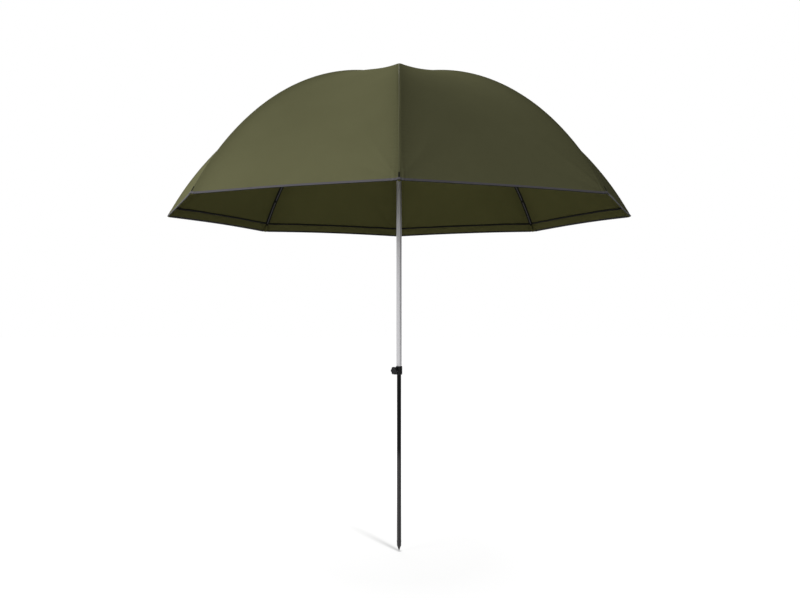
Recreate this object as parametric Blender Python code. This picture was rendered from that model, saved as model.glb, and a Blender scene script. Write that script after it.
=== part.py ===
"""A fishing umbrella: a two-part telescopic pole with a ground spike and a clamp knob, and eight ribs,
stretchers and cloth panels that a sliding runner opens and folds.

Metres, +Z up. The origin is the point of the ground spike, and the pole runs up the Z axis.
The umbrella stands open, with the first rib towards -Y.
"""

import math

import bmesh
import bpy
import numpy as np
from mathutils import Matrix, Vector

# Fits between pieces
gap = 0.0003
cut_overrun = 0.002

# Pole
spike_length = 0.028
spike_shank_length = 0.034
spike_rivet_diameter = 0.004
spike_rivet_height = 0.046
spike_rivet_head_diameter = 0.007
spike_rivet_head_thickness = 0.0009
lower_tube_diameter = 0.020
lower_tube_wall = 0.0012
lower_tube_length = 1.010
plug_shank_length = 0.022
plug_head_thickness = 0.005
mast_diameter = 0.025
mast_wall = 0.0012
bush_length = 0.045
bush_flange_thickness = 0.0012

# Clamp between the two tubes
collar_height = 0.040
tube_overlap = 0.1735
collar_diameter = 0.031
collar_rounding = 0.002
collar_socket_depth = 0.013
clamp_direction = math.radians(225)
boss_diameter = 0.018
boss_reach = 0.0225
nut_across_flats = 0.010
nut_thickness = 0.005
nut_inset = 0.0025
stud_diameter = 0.006
stud_in_knob = 0.007
knob_diameter = 0.039
knob_thickness = 0.012
knob_lobe_depth = 0.0028
knob_rounding = 0.002
knob_hub_diameter = 0.019
knob_hub_length = 0.0035
knob_lobes = 6

# Ribs
rib_count = 8
span_radius = 1.10
crown_radius = 0.024
tip_height = 1.5842
tip_slope = math.radians(61.1)
slope_ease_share = 0.078
stretcher_joint_share = 0.40
rib_diameter = 0.006
rib_outer_diameter = 0.005
eye_diameter = 0.0064
eye_width = 0.003
eye_neck_height = 0.0036
neck_length = 0.008
pin_diameter = 0.0024
cheek_thickness = 0.0015
bracket_drop = 0.0015
bracket_depth = 0.012
bracket_set_back = 0.006
bracket_length = 0.011
bridge_diameter = 0.0058
tip_cap_length = 0.022
tip_cap_diameter = 0.008
tip_inset = 0.004
tip_clearance = 0.0008

# Stretchers and runner
stretcher_slope = math.radians(24)
stretcher_diameter = 0.005
stretcher_flat = 0.0046
runner_eye_diameter = 0.0072
runner_eye_mouth = 0.0032
runner_pivot_radius = 0.0265
runner_wire_diameter = 0.0024
runner_flange_diameter = 0.060
runner_flange_height = 0.012
runner_clearance = 0.0004
runner_sleeve_diameter = 0.035
runner_sleeve_length = 0.072
runner_slot_depth = 0.0085

# Catch on the runner
catch_direction = math.radians(-67.5)
catch_pivot_radius = 0.0228
catch_pivot_drop = 0.046
catch_nose_rise = 0.015
catch_nose_diameter = 0.0046
catch_swing_room = 0.002
catch_lever_width = 0.010
catch_lever_thickness = 0.003
catch_lever_top = 0.020
catch_lever_tail = 0.020
catch_pin_diameter = 0.0024
catch_ear_thickness = 0.0025
catch_ear_width = 0.0075
catch_ear_root = 0.0035
catch_hole_diameter = 0.0066
catch_spring_width = 0.005
catch_spring_thickness = 0.0005
catch_spring_length = 0.013
catch_spring_seat = 0.004

# Crown
crown_diameter = 0.056
crown_top = 0.002
crown_bottom = 0.005
crown_neck = 0.004
crown_slot_depth = 0.0085
crown_spigot_length = 0.026
crown_stem_diameter = 0.012
crown_stem_length = 0.018
cap_diameter = 0.040
cap_height = 0.013
cap_wall = 0.003
patch_diameter = 0.084
patch_thickness = 0.0012
patch_slope = math.radians(1)
patch_lift = 0.0010

# Cloth
cloth_thickness = 0.0015
seam_room = 0.0012
sag_share = 0.0317
hem_sag_share = 0.05
hem_arch = 0.006

# Facets
tube_sides = 24
round_sides = 20
rod_sides = 6
eye_sides = 8
inner_rows = 4
outer_rows = 7
panel_columns = 4


def clear_scene():
    for item in list(bpy.data.objects):
        bpy.data.objects.remove(item, do_unlink=True)


def material(name, colour, roughness, metallic=0.0):
    """A Principled material of one plain colour."""
    made = bpy.data.materials.new(name)
    made.use_nodes = True
    shader = made.node_tree.nodes["Principled BSDF"]
    shader.inputs["Base Color"].default_value = (*colour, 1)
    shader.inputs["Roughness"].default_value = roughness
    shader.inputs["Metallic"].default_value = metallic
    return made


# Solids


def finished(mesh_builder):
    """A mesh from a bmesh whose faces are turned outwards, with smooth faces between its sharp edges."""
    bmesh.ops.recalc_face_normals(mesh_builder, faces=mesh_builder.faces)
    mesh = bpy.data.meshes.new("solid")
    mesh_builder.to_mesh(mesh)
    mesh_builder.free()
    mesh.shade_smooth()
    mesh.set_sharp_from_angle(angle=math.radians(35))
    return mesh


def turned(outline, sides):
    """A solid turned about Z from a closed outline of (radius, height) points."""
    builder = bmesh.new()
    corners = [builder.verts.new((radius, 0, height)) for radius, height in outline]
    rim = [
        builder.edges.new((corners[i], corners[(i + 1) % len(corners)]))
        for i in range(len(corners))
    ]
    bmesh.ops.spin(
        builder, geom=corners + rim, cent=(0, 0, 0), axis=(0, 0, 1), angle=2 * math.pi, steps=sides
    )
    bmesh.ops.remove_doubles(builder, verts=builder.verts, dist=gap / 30)
    loose = [edge for edge in builder.edges if not edge.link_faces]
    bmesh.ops.delete(builder, geom=loose, context="EDGES")
    return finished(builder)


def tube_mesh(outer, inner, low, high, sides=tube_sides):
    """A straight tube of outer and inner radius."""
    return turned([(inner, low), (outer, low), (outer, high), (inner, high)], sides)


def bar_mesh(radius, low, high, sides=round_sides):
    """A straight round bar."""
    return turned([(0, low), (radius, low), (radius, high), (0, high)], sides)


def ring_points(centre, radius, sides, half_width):
    """Points of a disc whose axis is Y, about a centre (x, z), at both its faces."""
    turn = 2 * math.pi / sides
    reach = radius / math.cos(turn / 2)
    return [
        (
            centre[0] + reach * math.cos((k + 0.5) * turn),
            side * half_width,
            centre[1] + reach * math.sin((k + 0.5) * turn),
        )
        for side in (-1, 1)
        for k in range(sides)
    ]


def hull_mesh(points):
    """The convex solid round some points."""
    builder = bmesh.new()
    for point in points:
        builder.verts.new(point)
    made = bmesh.ops.convex_hull(builder, input=builder.verts)
    spare = {item for item in made["geom_interior"] + made["geom_unused"] if isinstance(item, bmesh.types.BMVert)}
    bmesh.ops.delete(builder, geom=list(spare), context="VERTS")
    bmesh.ops.dissolve_limit(
        builder, angle_limit=math.radians(1), verts=builder.verts, edges=builder.edges
    )
    bmesh.ops.triangulate(builder, faces=[face for face in builder.faces if len(face.verts) > 4])
    return finished(builder)


def disc_mesh(centre, radius, half_width, sides=eye_sides):
    """A short cylinder whose axis is Y."""
    return hull_mesh(ring_points(centre, radius, sides, half_width))


def block_mesh(low, high):
    """A box between two corners."""
    return hull_mesh([(x, y, z) for x in (low[0], high[0]) for y in (low[1], high[1]) for z in (low[2], high[2])])


def rod_mesh(path, radius, sides=rod_sides, flat=None):
    """A rod along a path of (x, z) points in the XZ plane. With flat, it is that high and 2 * radius wide."""
    builder = bmesh.new()
    points = np.array(path)
    along = np.gradient(points, axis=0)
    along /= np.linalg.norm(along, axis=1)[:, None]
    height = radius if flat is None else flat / 2
    rings = []
    for point, tangent in zip(points, along):
        ring = []
        for k in range(sides):
            turn = 2 * math.pi * (k + 0.5) / sides
            across, up = radius * math.cos(turn), height * math.sin(turn)
            ring.append(builder.verts.new((point[0] - tangent[1] * up, across, point[1] + tangent[0] * up)))
        rings.append(ring)
    for first, second in zip(rings, rings[1:]):
        for k in range(sides):
            builder.faces.new((first[k], first[(k + 1) % sides], second[(k + 1) % sides], second[k]))
    builder.faces.new(rings[0])
    builder.faces.new(rings[-1])
    return finished(builder)


def combined(base, others, operation):
    """The union of meshes, or the first with the others cut out."""
    body = bpy.data.objects.new("body", base)
    bpy.context.collection.objects.link(body)
    helpers = []
    for other in others:
        helper = bpy.data.objects.new("helper", other)
        bpy.context.collection.objects.link(helper)
        helper.hide_render = True
        helper.display_type = "WIRE"
        step = body.modifiers.new(operation.lower(), "BOOLEAN")
        step.object = helper
        step.operation = operation
        step.solver = "EXACT"
        helpers.append(helper)
    bpy.context.view_layer.update()
    seen = body.evaluated_get(bpy.context.evaluated_depsgraph_get())
    mesh = bpy.data.meshes.new_from_object(seen)
    for item in [body] + helpers:
        bpy.data.objects.remove(item, do_unlink=True)
    builder = bmesh.new()
    builder.from_mesh(mesh)
    bmesh.ops.triangulate(builder, faces=builder.faces)
    return finished(builder)


def united(*meshes):
    return combined(meshes[0], meshes[1:], "UNION")


def cut(mesh, *cutters):
    return combined(mesh, cutters, "DIFFERENCE")


def placed(mesh, matrix):
    """The mesh moved by a matrix, as a copy."""
    copy = mesh.copy()
    copy.transform(matrix)
    return copy


def put(name, mesh, finish, origin=(0, 0, 0), azimuth=0.0):
    """One named piece, with its origin where it turns, turned about Z to its azimuth."""
    if not mesh.materials:
        mesh.materials.append(finish)
    piece = bpy.data.objects.new(name, mesh)
    bpy.context.collection.objects.link(piece)
    piece.location = origin
    piece.rotation_euler = (0, 0, azimuth)
    return piece


def radial(matrix_azimuth, radius, height):
    """The point at a radius and height, at an azimuth about the pole."""
    return Vector((radius * math.cos(matrix_azimuth), radius * math.sin(matrix_azimuth), height))


def lying_out(azimuth, height):
    """The matrix that lays a solid made along +Z so that it points out from the pole at an azimuth."""
    return Matrix.Translation((0, 0, height)) @ Matrix.Rotation(azimuth, 4, "Z") @ Matrix.Rotation(math.pi / 2, 4, "Y")


# The rib's curve: its slope grows from level at the crown to tip_slope at the tip


def slope_at(share):
    return tip_slope * (share + slope_ease_share * share * (1 - share**2))


curve_steps = 400
shares = np.linspace(0, 1, curve_steps + 1)
run = np.cos(slope_at(shares))
fall = np.sin(slope_at(shares))
run_sum = np.concatenate([[0], np.cumsum((run[1:] + run[:-1]) / 2)]) / curve_steps
fall_sum = np.concatenate([[0], np.cumsum((fall[1:] + fall[:-1]) / 2)]) / curve_steps
rib_length = (span_radius - crown_radius) / run_sum[-1]
crown_height = tip_height + rib_length * fall_sum[-1]


def seam_point(share):
    """Radius and height of the cloth's outer face on the rib, at a share of the rib's length."""
    radius = crown_radius + rib_length * np.interp(share, shares, run_sum)
    height = crown_height - rib_length * np.interp(share, shares, fall_sum)
    return np.array([radius, height])


def rib_axes(share):
    """The rib's direction and its outward normal, as (radial, up)."""
    slope = slope_at(share)
    return np.array([math.cos(slope), -math.sin(slope)]), np.array([math.sin(slope), math.cos(slope)])


def rod_point(share, diameter=rib_diameter):
    """A point on the centre line of the rod under the cloth."""
    along, out = rib_axes(share)
    return seam_point(share) - out * (cloth_thickness + seam_room + diameter / 2)


# Where the linkage turns

crown_pivot = np.array([crown_radius, rod_point(0)[1]])
joint_along, joint_out = rib_axes(stretcher_joint_share)
rib_pivot = rod_point(stretcher_joint_share) - joint_out * bracket_drop
stretcher_pivot = rib_pivot - joint_out * bracket_depth - joint_along * bracket_set_back
runner_height = stretcher_pivot[1] - (stretcher_pivot[0] - runner_pivot_radius) * math.tan(stretcher_slope)
parting = gap / 2 / rib_length
inner_shares = np.linspace(0, stretcher_joint_share - parting, inner_rows + 1)
outer_shares = np.linspace(stretcher_joint_share + parting, 1, outer_rows + 1)

azimuths = [math.radians(-90) + 2 * math.pi * k / rib_count for k in range(rib_count)]
half_panel = math.pi / rib_count
cheek_inside = eye_width / 2 + gap
cheek_outside = cheek_inside + cheek_thickness


def make_pole(steel, plastic):
    """The lower tube with its point, the rivet through them and the guide plug in its top."""
    outer = lower_tube_diameter / 2
    inner = outer - lower_tube_wall
    rivet_hole = bar_mesh(spike_rivet_diameter / 2 + gap, -outer - cut_overrun, outer + cut_overrun, eye_sides)
    across = lying_out(0, spike_rivet_height)
    tube = tube_mesh(outer, inner, spike_length + gap, lower_tube_length)
    put("ground_pole", cut(tube, placed(rivet_hole, across)), steel)

    shank = inner - gap
    point = turned(
        [(0, 0), (outer, spike_length), (shank, spike_length), (shank, spike_length + spike_shank_length),
         (0, spike_length + spike_shank_length)],
        tube_sides,
    )
    put("ground_spike", cut(point, placed(rivet_hole, across)), steel)

    head = outer + gap
    rivet = turned(
        [(0, -head - spike_rivet_head_thickness), (spike_rivet_head_diameter / 2, -head - gap),
         (spike_rivet_head_diameter / 2, -head), (spike_rivet_diameter / 2, -head),
         (spike_rivet_diameter / 2, head), (spike_rivet_head_diameter / 2, head),
         (spike_rivet_head_diameter / 2, head + gap), (0, head + spike_rivet_head_thickness)],
        eye_sides,
    )
    put("spike_rivet", placed(rivet, across), steel)

    top = lower_tube_length
    guide = mast_diameter / 2 - mast_wall - gap
    plug = turned(
        [(0, top - plug_shank_length), (inner - gap, top - plug_shank_length), (inner - gap, top + gap),
         (guide, top + gap), (guide, top + gap + plug_head_thickness), (0, top + gap + plug_head_thickness)],
        tube_sides,
    )
    put("pole_plug", plug, plastic)


collar_bottom = lower_tube_length - tube_overlap
collar_top = collar_bottom + collar_height
clamp_height = collar_bottom + collar_height / 2
mast_bottom = collar_top - collar_socket_depth + bush_flange_thickness + 2 * gap
mast_top = crown_pivot[1] - crown_bottom - crown_neck
catch_height = runner_height - catch_pivot_drop + catch_nose_rise


def make_mast(aluminium, plastic):
    """The upper tube with the hole for the runner's catch, and the bush that guides the lower tube."""
    outer = mast_diameter / 2
    inner = outer - mast_wall
    hole = bar_mesh(catch_hole_diameter / 2, inner - cut_overrun, outer + cut_overrun, eye_sides)
    tube = tube_mesh(outer, inner, mast_bottom, mast_top)
    put("mast_tube", cut(tube, placed(hole, lying_out(catch_direction, catch_height))), aluminium)

    bore = lower_tube_diameter / 2 + gap
    bush = turned(
        [(bore, mast_bottom - gap - bush_flange_thickness), (outer - gap, mast_bottom - gap - bush_flange_thickness),
         (outer - gap, mast_bottom - gap), (inner - gap, mast_bottom - gap), (inner - gap, mast_bottom + bush_length),
         (bore, mast_bottom + bush_length)],
        tube_sides,
    )
    put("mast_bush", bush, plastic)


def hexagon_bar(across_flats, low, high):
    """A six-sided bar along Z."""
    corner = across_flats / 2 / math.cos(math.pi / 6)
    return hull_mesh(
        [(corner * math.cos(k * math.pi / 3), corner * math.sin(k * math.pi / 3), height)
         for k in range(6) for height in (low, high)]
    )


def make_clamp(plastic, steel):
    """The collar on the mast's foot, the nut inside it, and the knob whose stud grips the lower tube."""
    outer = collar_diameter / 2
    bore = lower_tube_diameter / 2 + gap
    socket = mast_diameter / 2 + gap
    socket_floor = collar_top - collar_socket_depth
    body = turned(
        [(0, collar_bottom), (outer - collar_rounding, collar_bottom), (outer, collar_bottom + collar_rounding),
         (outer, collar_top - collar_rounding), (outer - collar_rounding, collar_top), (0, collar_top)],
        tube_sides,
    )
    across = lying_out(clamp_direction, clamp_height)
    boss = placed(bar_mesh(boss_diameter / 2, bore + collar_rounding, boss_reach), across)
    pole_room = turned(
        [(0, collar_bottom - cut_overrun), (bore, collar_bottom - cut_overrun), (bore, socket_floor),
         (socket, socket_floor), (socket, collar_top + cut_overrun), (0, collar_top + cut_overrun)],
        tube_sides,
    )
    stud_room = placed(bar_mesh(stud_diameter / 2 + gap, bore - cut_overrun, boss_reach + cut_overrun, eye_sides), across)
    nut_low = bore + nut_inset
    nut_room = placed(hexagon_bar(nut_across_flats + 2 * gap, nut_low - gap, nut_low + nut_thickness + gap), across)
    put("clamp_collar", cut(united(body, boss), pole_room, stud_room, nut_room), plastic)

    nut = cut(
        hexagon_bar(nut_across_flats, nut_low, nut_low + nut_thickness),
        bar_mesh(stud_diameter / 2 + gap, nut_low - cut_overrun, nut_low + nut_thickness + cut_overrun, eye_sides),
    )
    put("clamp_nut", placed(nut, across), steel)

    # knob and stud are made along Z from the pole's axis, and their origin lies on the axis they turn about
    hub_low = boss_reach + gap
    head_low = hub_low + knob_hub_length
    head_high = head_low + knob_thickness
    steps = 4 * knob_lobes

    def lobed(height, inset):
        points = []
        for k in range(steps):
            turn = 2 * math.pi * k / steps
            radius = knob_diameter / 2 - inset - knob_lobe_depth * (1 - math.cos(knob_lobes * turn)) / 2
            points.append((radius * math.cos(turn), radius * math.sin(turn), height))
        return points

    builder = bmesh.new()
    levels = [(head_low, knob_rounding), (head_low + knob_rounding, 0), (head_high - knob_rounding, 0),
              (head_high, knob_rounding)]
    rings = [[builder.verts.new(point) for point in lobed(height, inset)] for height, inset in levels]
    for first, second in zip(rings, rings[1:]):
        for k in range(steps):
            builder.faces.new((first[k], first[(k + 1) % steps], second[(k + 1) % steps], second[k]))
    builder.faces.new(rings[0])
    builder.faces.new(rings[-1])
    head = finished(builder)
    hub = bar_mesh(knob_hub_diameter / 2, hub_low, head_low + knob_thickness / 2)
    stud_high = head_low + stud_in_knob
    stud_hole = bar_mesh(stud_diameter / 2 + gap, hub_low - cut_overrun, stud_high + gap, eye_sides)
    pose = lying_out(clamp_direction, 0)
    knob_origin = (0, 0, clamp_height)
    put("clamp_knob", placed(cut(united(head, hub), stud_hole), pose), plastic, knob_origin)
    stud = bar_mesh(stud_diameter / 2, lower_tube_diameter / 2 + gap, stud_high, eye_sides)
    put("clamp_stud", placed(stud, pose), steel, knob_origin)


def polygon_wire(apothem, diameter, height):
    """A closed wire of straight runs, one across each rib's azimuth, at the runs' distance from the pole."""
    builder = bmesh.new()
    rings = []
    for azimuth in azimuths:
        corner = azimuth + half_panel
        outward = Vector((math.cos(corner), math.sin(corner), 0))
        ring = []
        for k in range(rod_sides):
            turn = 2 * math.pi * (k + 0.5) / rod_sides
            reach = (apothem + diameter / 2 * math.cos(turn)) / math.cos(half_panel)
            ring.append(builder.verts.new(outward * reach + Vector((0, 0, height + diameter / 2 * math.sin(turn)))))
        rings.append(ring)
    for index, first in enumerate(rings):
        second = rings[(index + 1) % rib_count]
        for k in range(rod_sides):
            builder.faces.new((first[k], first[(k + 1) % rod_sides], second[(k + 1) % rod_sides], second[k]))
    return finished(builder)


def slots(depth, width, outer, low, high):
    """The eight slots from a hub's rim inwards, one for each rib."""
    slot = block_mesh((outer - depth, -width / 2, low), (outer + cut_overrun, width / 2, high))
    return [placed(slot, Matrix.Rotation(azimuth, 4, "Z")) for azimuth in azimuths]


def make_crown(plastic, steel, cloth):
    """The hub in the mast's top, the wire that the ribs turn on, the cloth rosette and the cap above them.

    They are made about the level where the ribs turn.
    """
    level = crown_pivot[1]
    place = (0, 0, level)
    rim = crown_diameter / 2
    mast_bore = mast_diameter / 2 - mast_wall - gap
    stem = crown_stem_diameter / 2
    seat = mast_top + gap - level
    hub = turned(
        [(0, seat - crown_spigot_length), (mast_bore, seat - crown_spigot_length), (mast_bore, seat),
         (mast_diameter / 2, seat), (mast_diameter / 2, -crown_bottom), (rim, -crown_bottom),
         (rim, crown_top), (stem, crown_top), (stem, crown_stem_length), (0, crown_stem_length)],
        tube_sides,
    )
    width = eye_width + 4 * gap
    cutters = slots(crown_slot_depth, width, rim, -crown_bottom - cut_overrun, crown_top + cut_overrun)
    tunnel = polygon_wire(crown_radius, pin_diameter + 4 * gap, 0)
    put("crown", cut(hub, *cutters, tunnel), plastic, place)
    put("crown_wire", polygon_wire(crown_radius, pin_diameter, 0), steel, place)

    hole = stem + gap
    reach = patch_diameter / 2
    base = crown_height + patch_lift - level
    edge = base - (reach - hole) * math.tan(patch_slope)
    patch = turned(
        [(hole, base), (reach, edge), (reach, edge + patch_thickness), (hole, base + patch_thickness)], tube_sides
    )
    put("crown_patch", patch, cloth, place)

    foot = base + patch_thickness + gap
    cap_radius = cap_diameter / 2
    stem_top = crown_stem_length + gap
    dome = 5
    outline = [(hole, foot), (cap_radius, foot)]
    for k in range(dome + 1):
        turn = math.pi / 2 * k / dome
        rise = cap_height - cap_wall
        outline.append((cap_radius * math.cos(turn), foot + cap_wall + rise * math.sin(turn)))
    outline[-1] = (0, foot + cap_height)
    outline += [(0, stem_top), (hole, stem_top)]
    put("crown_cap", turned(outline, tube_sides), plastic, place)


def make_runner(plastic, steel):
    """The sliding sleeve, the wire that its stretchers hook on, the lever catch with its pin and spring.

    The sleeve and the wire are made about the level where the stretchers turn.
    """
    place = (0, 0, runner_height)
    bore = mast_diameter / 2 + runner_clearance
    sleeve = runner_sleeve_diameter / 2
    rim = runner_flange_diameter / 2
    top = runner_flange_height / 2
    bottom = top - runner_sleeve_length
    body = turned(
        [(bore, bottom), (sleeve, bottom), (sleeve, top - runner_flange_height), (rim, top - runner_flange_height),
         (rim, top), (bore, top)],
        tube_sides,
    )
    to_catch = Matrix.Rotation(catch_direction, 4, "Z")
    pivot_height = -catch_pivot_drop
    nose_height = pivot_height + catch_nose_rise
    half_lever = catch_lever_width / 2
    ear_in = half_lever + gap
    ear_out = ear_in + catch_ear_thickness
    ear_reach = catch_pivot_radius + catch_ear_width / 2
    ears = []
    for side in (-1, 1):
        low = min(side * ear_in, side * ear_out)
        high = max(side * ear_in, side * ear_out)
        ear = block_mesh(
            (sleeve - catch_ear_root, low, pivot_height - catch_ear_width / 2),
            (ear_reach, high, pivot_height + catch_ear_width / 2),
        )
        ears.append(placed(ear, to_catch))
    width = stretcher_flat + 4 * gap
    cutters = slots(runner_slot_depth, width, rim, top - runner_flange_height - cut_overrun, top + cut_overrun)
    tunnel = polygon_wire(runner_pivot_radius, runner_wire_diameter + 4 * gap, 0)
    pin_room = disc_mesh((catch_pivot_radius, pivot_height), catch_pin_diameter / 2 + gap, ear_out + cut_overrun, rod_sides)
    window = block_mesh(
        (bore - cut_overrun, -catch_nose_diameter / 2 - 2 * gap, nose_height - catch_nose_diameter / 2 - catch_swing_room),
        (sleeve + cut_overrun, catch_nose_diameter / 2 + 2 * gap, nose_height + catch_nose_diameter / 2 + catch_swing_room),
    )
    solid = cut(united(body, *ears), *cutters, tunnel, placed(pin_room, to_catch), placed(window, to_catch))
    put("runner", solid, plastic, place)
    put("runner_wire", polygon_wire(runner_pivot_radius, runner_wire_diameter, 0), steel, place)

    origin = radial(catch_direction, catch_pivot_radius, runner_height + pivot_height)
    pin = disc_mesh((0, 0), catch_pin_diameter / 2, ear_out, rod_sides)
    put("catch_pin", pin, steel, origin, catch_direction)

    # the lever is made about its pivot, with +X away from the pole
    half = catch_lever_thickness / 2
    nose_tip = mast_diameter / 2 + gap - catch_pivot_radius
    plate = block_mesh((-half, -half_lever, -catch_lever_tail), (half, half_lever, catch_lever_top))
    nose = placed(
        bar_mesh(catch_nose_diameter / 2, nose_tip, 0, eye_sides),
        Matrix.Translation((0, 0, catch_nose_rise)) @ Matrix.Rotation(math.pi / 2, 4, "Y"),
    )
    knuckle = disc_mesh((0, 0), catch_pin_diameter / 2 + gap + half / 2, half_lever)
    pin_hole = disc_mesh((0, 0), catch_pin_diameter / 2 + gap, half_lever + cut_overrun, rod_sides)
    put("runner_catch", cut(united(plate, nose, knuckle), pin_hole), plastic, origin, catch_direction)

    # the leaf spring bows from the sleeve out to the lever's tail
    seat = sleeve - catch_pivot_radius + gap + catch_spring_thickness / 2
    under = -half - gap - catch_spring_thickness / 2
    low = -catch_lever_tail + catch_spring_seat
    count = 7
    path = []
    for k in range(count):
        share = k / (count - 1)
        bow = seat + (under - seat) * math.sin(math.pi * share)
        path.append((bow, low + catch_spring_length * share))
    strip = rod_mesh([(z, x) for x, z in path], catch_spring_width / 2, 4, catch_spring_thickness * math.sqrt(2))
    upright = Matrix(((0, 0, 1, 0), (0, 1, 0, 0), (1, 0, 0, 0), (0, 0, 0, 1)))
    leaf = placed(strip, upright)
    leaf.flip_normals()
    put("catch_spring", leaf, steel, origin, catch_direction)


def local_path(first, last, pivot, diameter):
    """Points of the rod's centre line between two shares of the rib, level with the cloth's rows."""
    rows = [share for share in np.concatenate([inner_shares, outer_shares]) if first < share < last]
    return [rod_point(share, diameter) - pivot for share in [first, *rows, last]]


def share_past(share, distance):
    return share + distance / rib_length


def make_ribs(steel, plastic):
    """Each rib is an inner rod on the crown and an outer rod past the stretcher's bracket."""
    # inner rod, about the crown's wire
    start = share_past(0, neck_length)
    end = share_past(stretcher_joint_share, -bracket_length)
    rod = rod_mesh(local_path(start, end, crown_pivot, rib_diameter), rib_diameter / 2)
    neck_end = rod_point(share_past(start, neck_length / 2)) - crown_pivot
    eye = disc_mesh((0, 0), eye_diameter / 2, eye_width / 2)
    neck = hull_mesh(
        ring_points((0, 0), eye_neck_height / 2, rod_sides, eye_width / 2)
        + ring_points(neck_end, eye_neck_height / 2, rod_sides, eye_width / 2)
    )
    joint = rib_pivot - crown_pivot
    hook = stretcher_pivot - crown_pivot
    bridge = rod_point(end) - rib_axes(end)[1] * bracket_drop - crown_pivot
    cheeks = []
    for side in (-1, 1):
        middle = side * (cheek_inside + cheek_thickness / 2)
        outline = (
            ring_points(joint, eye_diameter / 2, eye_sides, cheek_thickness / 2)
            + ring_points(hook, eye_diameter / 2, eye_sides, cheek_thickness / 2)
            + ring_points(bridge, bridge_diameter / 2, eye_sides, cheek_thickness / 2)
        )
        cheeks.append(placed(hull_mesh(outline), Matrix.Translation((0, middle, 0))))
    block = disc_mesh(bridge, bridge_diameter / 2, cheek_outside)
    pins = [disc_mesh(place, pin_diameter / 2, cheek_outside, rod_sides) for place in (joint, hook)]
    wire_hole = disc_mesh((0, 0), pin_diameter / 2 + gap, eye_width, rod_sides)
    inner = cut(united(rod, eye, neck, block, *cheeks, *pins), wire_hole)

    # outer rod, about the bracket's upper pin
    start = share_past(stretcher_joint_share, neck_length)
    end = share_past(1, -tip_inset)
    cap_start = share_past(1, -tip_inset - tip_cap_length)
    rod = rod_mesh(local_path(start, cap_start, rib_pivot, rib_outer_diameter), rib_outer_diameter / 2)
    neck_end = rod_point(share_past(start, neck_length / 2), rib_outer_diameter) - rib_pivot
    eye = disc_mesh((0, 0), eye_diameter / 2, eye_width / 2)
    neck = hull_mesh(
        ring_points((0, 0), eye_neck_height / 2, rod_sides, eye_width / 2)
        + ring_points(neck_end, eye_neck_height / 2, rod_sides, eye_width / 2)
    )
    drop = (tip_cap_diameter - rib_outer_diameter) / 2 + tip_clearance
    cap_path = [
        rod_point(share, rib_outer_diameter) - rib_axes(share)[1] * drop - rib_pivot
        for share in np.linspace(share_past(cap_start, -tip_inset), end, 3)
    ]
    cap = rod_mesh(cap_path, tip_cap_diameter / 2)
    pin_hole = disc_mesh((0, 0), pin_diameter / 2 + gap, eye_width, rod_sides)
    outer = cut(united(rod, eye, neck, cap), pin_hole)

    for number, azimuth in enumerate(azimuths, 1):
        put(f"rib_inner_{number}", inner, steel, radial(azimuth, *crown_pivot), azimuth)
        put(f"rib_outer_{number}", outer, plastic, radial(azimuth, *rib_pivot), azimuth)


def make_stretchers(steel):
    """Each stretcher turns in its rib's bracket, and its open eye hooks on the runner's wire."""
    far = np.array([runner_pivot_radius, runner_height]) - stretcher_pivot
    along = far / np.linalg.norm(far)
    rod = rod_mesh([along * neck_length, far - along * neck_length], stretcher_diameter / 2)
    eye = disc_mesh((0, 0), eye_diameter / 2, eye_width / 2)
    neck = hull_mesh(
        ring_points((0, 0), eye_neck_height / 2, rod_sides, eye_width / 2)
        + ring_points(along * neck_length * 1.5, eye_neck_height / 2, rod_sides, eye_width / 2)
    )
    foot = disc_mesh(far, runner_eye_diameter / 2, stretcher_flat / 2)
    foot_neck = hull_mesh(
        ring_points(far, eye_neck_height / 2, rod_sides, stretcher_flat / 2)
        + ring_points(far - along * neck_length * 1.5, eye_neck_height / 2, rod_sides, stretcher_flat / 2)
    )
    wire_room = disc_mesh(far, runner_eye_mouth / 2, stretcher_flat)
    mouth = block_mesh(
        (far[0] - runner_eye_mouth / 2, -stretcher_flat, far[1]),
        (far[0] + runner_eye_mouth / 2, stretcher_flat, far[1] + runner_eye_diameter),
    )
    pin_hole = disc_mesh((0, 0), pin_diameter / 2 + gap, eye_width, rod_sides)
    solid = cut(united(rod, eye, neck, foot, foot_neck), wire_room, mouth, pin_hole)
    for number, azimuth in enumerate(azimuths, 1):
        put(f"stretcher_{number}", solid, steel, radial(azimuth, *stretcher_pivot), azimuth)


def cloth_point(row, column):
    """The cloth's outer face between the rib along +X (column 0) and the middle of the panel (column 0.5).

    It lies on the chord between two ribs and sags in from it by a share of the radius. The sag fades out towards
    the hem, which is taut and arches up a little between the tips.
    """
    hollow = 4 * column * (1 - column)
    share = row - hem_arch / rib_length * hollow * row**3
    radius, height = seam_point(share)
    slope = slope_at(share)
    sag = sag_share * radius * hollow * (1 - (1 - hem_sag_share) * row**4)
    step = 2 * half_panel
    chord = (1 - column) * np.array([1.0, 0.0]) + column * np.array([math.cos(step), math.sin(step)])
    inward = -np.array([math.cos(half_panel), math.sin(half_panel)])
    flat = radius * chord + sag * math.sin(slope) * inward
    return np.array([flat[0], flat[1], height - sag * math.cos(slope)])


def cloth_normal(row, column):
    """The cloth's outward normal; on the rib, where two panels meet, it has no part across the rib."""
    small = 1 / curve_steps
    along = cloth_point(min(row + small, 1), column) - cloth_point(max(row - small, 0), column)
    across = cloth_point(row, min(column + small, 1)) - cloth_point(row, max(column - small, 0))
    if column < small:
        return np.array([math.sin(slope_at(row)), 0, math.cos(slope_at(row))])
    normal = np.cross(along, across)
    return normal / np.linalg.norm(normal)


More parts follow.
